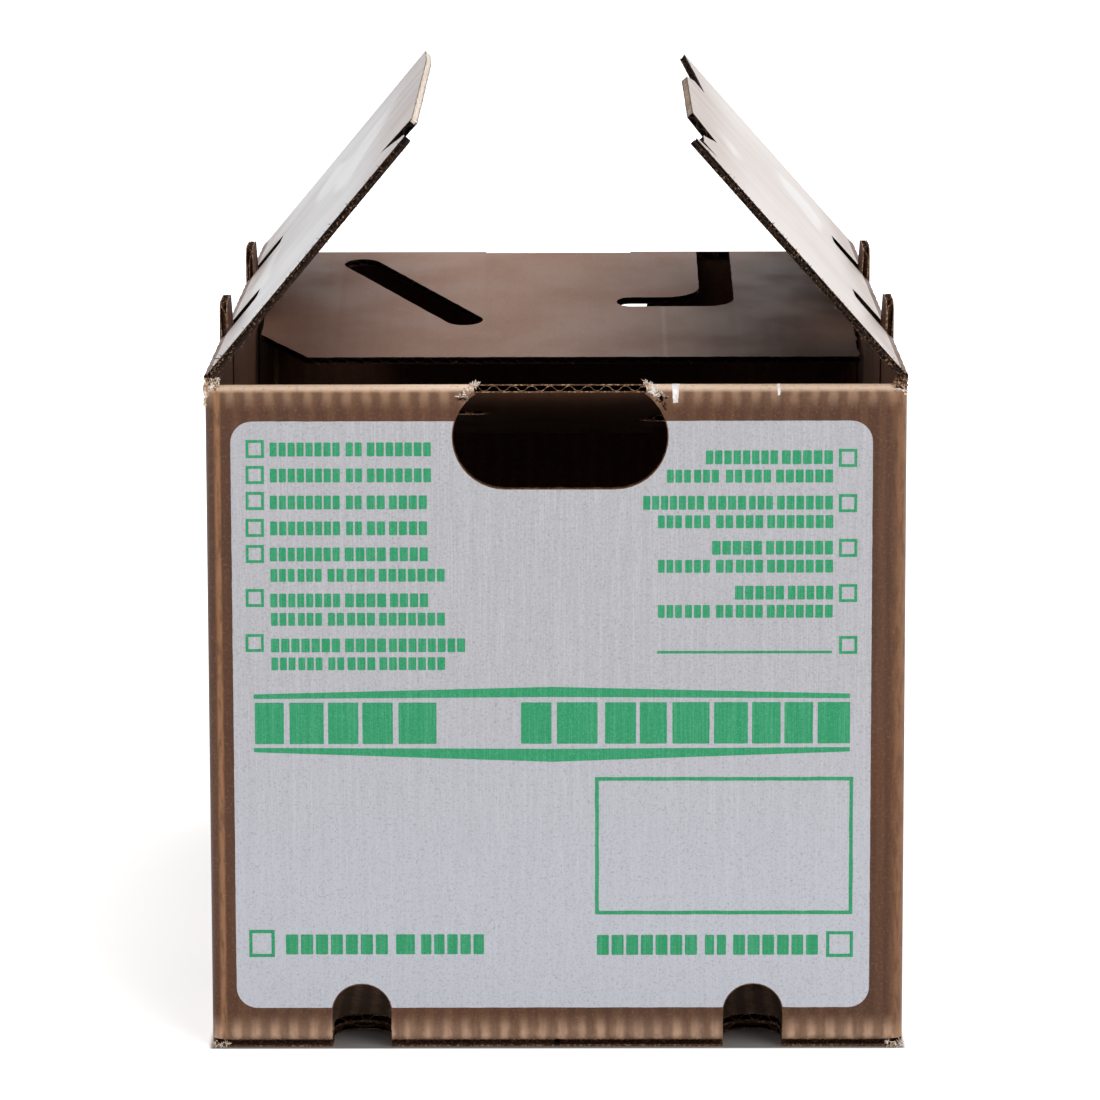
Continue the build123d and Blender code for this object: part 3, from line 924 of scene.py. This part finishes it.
end_strip("front_end_board", -1, FRONT_DROOP, 11, end_set)
end_strip("back_end_board", 1, BACK_DROOP, 12, back_set)
side_strip("right_side_board", 1, 13, side_set)
side_strip("left_side_board", -1, 14, side_set)
corner_posts([end_outer, end_inner, cut_paper])
long_flap(
    "right_flap_board", 1, RIGHT_EDGE, RIGHT_ANGLE, 15, right_set, "right_flap",
    lambda u, v: v > 133.0 and -114.0 < u < 96.0,
)
torn_places([white_paper, torn_paper, cut_paper])
wax_streaks(wax)
fold_strip("right_fold", 1, RIGHT_ANGLE, [side_outer])
fold_strip("left_fold", -1, LEFT_ANGLE, [side_outer])
long_flap(
    "left_flap_board", -1, LEFT_EDGE, LEFT_ANGLE, 16, left_set, "left_flap",
    lambda u, v: v > 130.0 and (u > -164.0 or v > 139.4),
)

field_ink = ink(
    "field_ink", srgb(181, 180, 185), srgb(206, 206, 212), srgb(136, 132, 134), srgb(191, 193, 202)
)
green_ink = ink("green_ink", srgb(34, 146, 96), srgb(92, 176, 138), srgb(20, 114, 74))


def printed(name, outer_loops, material, lift):
    """Thin flat print on the front face: each entry is an outer loop with its holes."""
    build = Builder()
    for outer, holes in outer_loops:
        for u0, u1, (a0, a1), (b0, b1) in strips(outer, holes, 2 * HALF_W):
            corners = ((u0, a0), (u1, a1), (u1, b1), (u0, b0))
            build.quad([(u, -HALF_L - lift, s) for u, s in corners], 0, 0)
    return mesh_piece(name, build, [material], "carton")


def rectangle(x0, z0, x1, z1):
    return [(x0, z0), (x1 + NUDGE, z0), (x1 + 2 * NUDGE, z1), (x0 - NUDGE, z1)]


def rounded(x0, z0, x1, z1, r):
    """A rectangle with corners of radius r."""
    loop = arc_points(x1 - r, z1 - r, r, 0, 90, 8) + arc_points(x0 + r, z1 - r, r, 90, 180, 8)
    return loop + arc_points(x0 + r, z0 + r, r, 180, 270, 8) + arc_points(x1 - r, z0 + r, r, 270, 360, 8)


# The pale field, which stays a little clear of the hand hole and the drain notches
rng = random.Random(21)
CLEAR = 0.4
hole_r, hole_arc = HAND_R + CLEAR, HAND_HALF_W - HAND_R
stadium = arc_points(HAND_X - hole_arc, HAND_Z, hole_r, 90, 270, 20)
stadium += arc_points(HAND_X + hole_arc, HAND_Z, hole_r, -90, 90, 20)
wide = END_NOTCH_W / 2 + CLEAR
notches = [rounded(x - wide, -5, x + wide, END_NOTCH_TOP + CLEAR, 13.5) for x in (-END_NOTCH_X, END_NOTCH_X)]
field = ragged(rounded(-143.8, 19.3, 139.8, 285.3, 9.5), rng, 3.0, 0.07)
openings = [ragged(loop, rng, 4.0, 0.05) for loop in [stadium] + notches]
printed("print_field", [(field, openings)], field_ink, FIELD_LIFT)

marks = []


def blocks(z, tall, spans, pitch=4.1, gap=0.8):
    """A row of solid blocks: each span is split evenly."""
    for x0, x1 in spans:
        n = max(1, round((x1 - x0) / pitch))
        step = (x1 - x0 + gap) / n
        for i in range(n):
            left = x0 + i * step
            low, high = z - tall / 2, z + tall / 2
            loop = rounded(left, low, left + step - gap, high, 0.45)
            marks.append((ragged(loop, rng, 2.5, 0.06), []))


def outline_box(x0, z0, x1, z1, line):
    """An outlined box with corners (x0, z0) and (x1, z1)."""
    out = rectangle(x0, z0, x1, z1)
    inner = rectangle(x0 + line, z0 + line, x1 - line, z1 - line)
    marks.append((ragged(out, rng, 5.0, 0.1), [ragged(inner, rng, 5.0, 0.1)]))


def rule(x0, x1, ends, middle):
    """A tapered rule: (low, high) at its ends and in its middle."""
    mid = (x0 + x1) / 2
    soft_x, soft_z = 0.4, 0.3  # how much of each corner is cut off
    loop = [(x0, ends[0] + soft_z), (x0 + soft_x, ends[0]), (mid, middle[0])]
    loop += [(x1 - soft_x - NUDGE, ends[0]), (x1, ends[0] + soft_z), (x1 + NUDGE, ends[1] - soft_z)]
    loop += [(x1 - soft_x, ends[1]), (mid + NUDGE, middle[1]), (x0 + soft_x + NUDGE, ends[1])]
    loop += [(x0 - NUDGE, ends[1] - soft_z)]
    marks.append((loop, []))


# Small outlined boxes: (x, z) of the lower left corner
TICK = 8.1
for x, z in (
    (-137.1, 269.0), (-137.2, 257.4), (-137.3, 245.8), (-137.5, 233.7), (-137.6, 222.0), (-137.8, 202.2),
    (-138.1, 181.9), (124.8, 264.6), (124.9, 244.4), (125.1, 224.3), (125.2, 204.0), (125.4, 180.6),
):
    outline_box(x, z, x + TICK, z + TICK, 1.3)

# Rows of blocks beside them: z of the row's middle and its spans (x0, x1)
SHORT = [(-126.5, -95.6), (-92.9, -85.8), (-83.6, -55.3)]
SPLIT = [(-126.6, -95.7), (-93.0, -86.0), (-83.8, -75.8), (-74.0, -57.2)]
MEDIUM = [(-126.9, -95.9), (-93.7, -75.5), (-73.8, -56.9)]
LEFT_UNDER = [(-126.7, -116.0), (-114.7, -104.0), (-101.4, -94.3), (-92.9, -80.5), (-78.7, -49.5)]
RIGHT_UNDER = [(45.0, 55.6), (57.0, 68.0), (70.7, 78.2), (79.5, 91.5), (93.3, 122.5)]
LONG = [(-126.8, -96.1), (-93.9, -75.7), (-74.4, -40.6)]
for z, spans in (
    (272.8, SHORT), (261.2, SHORT), (249.1, SPLIT), (237.5, SPLIT),
    (225.8, MEDIUM), (205.1, MEDIUM), (184.8, LONG),
    (269.0, [(66.1, 97.9), (99.7, 122.2)]),
    (248.7, [(38.4, 65.3), (67.1, 83.9), (85.2, 95.8), (97.6, 122.3)]),
    (228.5, [(68.9, 91.0), (92.8, 122.4)]), (208.3, [(79.1, 100.9), (102.6, 122.6)]),
):
    blocks(z, 6.2, spans)
for z, spans in (
    (216.4, LEFT_UNDER), (196.6, LEFT_UNDER), (176.5, LEFT_UNDER),
    (260.6, [(48.9, 59.5), (60.9, 71.9), (75.0, 82.1), (83.4, 94.9), (97.1, 122.3)]),
    (240.2, RIGHT_UNDER), (220.2, RIGHT_UNDER), (199.9, RIGHT_UNDER),
):
    blocks(z, 5.8, spans, 3.9)
marks.append((rectangle(44.6, 180.9, 122.3, 182.1), []))

# The tall row between its two rules
HEADING = [
    (-134.3, -121.4), (-118.9, -103.7), (-101.8, -88.3), (-86.5, -72.9), (-70.4, -53.5),
    (-15.9, -2.3), (0.1, 18.2), (21.5, 35.3), (37.0, 49.0), (51.5, 68.0), (70.0, 85.1),
    (86.9, 99.6), (101.3, 114.0), (116.1, 130.5),
]
blocks(149.5, 18.8, HEADING, 20.0)
rule(-134.8, 130.4, (160.6, 162.7), (161.3, 165.9))
rule(-134.9, 130.5, (136.4, 138.4), (131.9, 137.8))

# The large box and the row at the foot
outline_box(17.0, 62.1, 132.1, 124.9, 1.7)
outline_box(-138.0, 42.7, -126.5, 55.2, 1.5)
outline_box(120.4, 42.4, 132.5, 54.3, 1.5)
blocks(48.5, 9.2, [(-121.5, -75.8), (-72.2, -63.7), (-61.0, -32.8)], 6.2, 1.2)
blocks(48.1, 9.2, [(17.8, 62.6), (66.2, 75.6), (78.8, 116.8)], 6.2, 1.2)
printed("print_marks", marks, green_ink, MARK_LIFT)


def stage():
    """A white floor that brightens into the white of the room, with a painted contact shadow: a soft dark rim
    around the carton, and dark under it.
    """
    build = Builder()
    side, front, back = 6000, -5200, 9000
    build.quad([(-side, front, 0), (side, front, 0), (side, back, 0), (-side, back, 0)], 0, 0)
    n = Nodes("floor_white")
    n.bsdf.inputs["Roughness"].default_value = 0.9
    path = n.tree.nodes.new("ShaderNodeLightPath")
    seen = n.math("MAXIMUM", path.outputs["Is Camera Ray"], path.outputs["Is Glossy Ray"])
    foot_x, foot_y = 0.155, 0.2515  # half the width and length that stand on the floor
    dx = n.math("MAXIMUM", n.math("SUBTRACT", n.math("ABSOLUTE", n.x), foot_x), 0.0)
    dy = n.math("MAXIMUM", n.math("SUBTRACT", n.math("ABSOLUTE", n.y), foot_y), 0.0)
    far = n.math("SQRT", n.math("ADD", n.times(dx, dx), n.times(dy, dy)))
    # painted contact shadow: the camera glow is taken off under the carton and within 3 mm of it, and the
    # floor under the carton is painted dark, as seen through the drain notches
    near = n.ramp(far, 0.0, 0.003, 0.0, 0.52)
    under = n.mix(n.ramp(far, 0.0, 0.002), (0.25, 0.23, 0.22, 1), (0.9, 0.9, 0.9, 1))
    n.feed(under, n.bsdf.inputs["Base Color"])
    lift = n.times(seen, n.math("ADD", near, n.ramp(far, 0.3, 1.5, 0.0, 0.7)))
    n.bsdf.inputs["Emission Color"].default_value = (1, 1, 1, 1)
    n.feed(lift, n.bsdf.inputs["Emission Strength"])
    floor = mesh_piece("floor", build, [n.mat], None)


def world():
    """White to the camera and in reflections, and dimmer as a light."""
    w = bpy.data.worlds.new("studio")
    bpy.context.scene.world = w
    w.use_nodes = True
    tree = w.node_tree
    back = tree.nodes["Background"]
    path = tree.nodes.new("ShaderNodeLightPath")
    seen = tree.nodes.new("ShaderNodeMath")
    seen.operation = "MAXIMUM"
    tree.links.new(path.outputs["Is Camera Ray"], seen.inputs[0])
    tree.links.new(path.outputs["Is Glossy Ray"], seen.inputs[1])
    ramp = tree.nodes.new("ShaderNodeMapRange")
    tree.links.new(seen.outputs[0], ramp.inputs[0])
    ramp.inputs["To Min"].default_value = 0.42
    ramp.inputs["To Max"].default_value = 1.0
    back.inputs["Color"].default_value = (1, 1, 1, 1)
    tree.links.new(ramp.outputs[0], back.inputs["Strength"])


def lamp(name, place, size, power):
    """A square area lamp that points at the middle of the carton."""
    data = bpy.data.lights.new(name, "AREA")
    data.shape, data.size, data.energy = "SQUARE", size, power
    ob = bpy.data.objects.new(name, data)
    bpy.context.scene.collection.objects.link(ob)
    ob.location = place
    ob.rotation_euler = (Vector((0, 0, 0.2)) - Vector(place)).to_track_quat("-Z", "Y").to_euler()


def camera():
    """The camera that was fitted to the photograph: its focal length and width in the photograph's pixels."""
    focal, width = 5705.0, 1100.0
    place = (0.0074, -2.7432, 0.6544)
    yaw, pitch, roll = 0.0041, 0.1698, -0.0023
    data = bpy.data.cameras.new("camera")
    data.sensor_width = 36.0
    data.lens = data.sensor_width * focal / width
    data.clip_start, data.clip_end = 0.05, 60.0
    ob = bpy.data.objects.new("camera", data)
    bpy.context.scene.collection.objects.link(ob)
    r1 = Matrix(((math.cos(yaw), math.sin(yaw), 0), (-math.sin(yaw), math.cos(yaw), 0), (0, 0, 1)))
    r2 = Matrix(((1, 0, 0), (0, math.cos(pitch), -math.sin(pitch)), (0, math.sin(pitch), math.cos(pitch))))
    r3 = Matrix(((math.cos(roll), 0, math.sin(roll)), (0, 1, 0), (-math.sin(roll), 0, math.cos(roll))))
    right, ahead, up = r3 @ r2 @ r1
    turn = Matrix((right, up, -ahead)).transposed()
    ob.matrix_world = Matrix.Translation(place) @ turn.to_4x4()
    bpy.context.scene.camera = ob


stage()
world()
lamp("key", (1.4, -2.2, 2.4), 1.8, 48)
lamp("fill", (-2.2, -1.6, 1.2), 1.6, 13)
lamp("top", (0.5, 0.5, 3.0), 2.2, 36)
camera()
bpy.context.scene.view_settings.view_transform = "Standard"
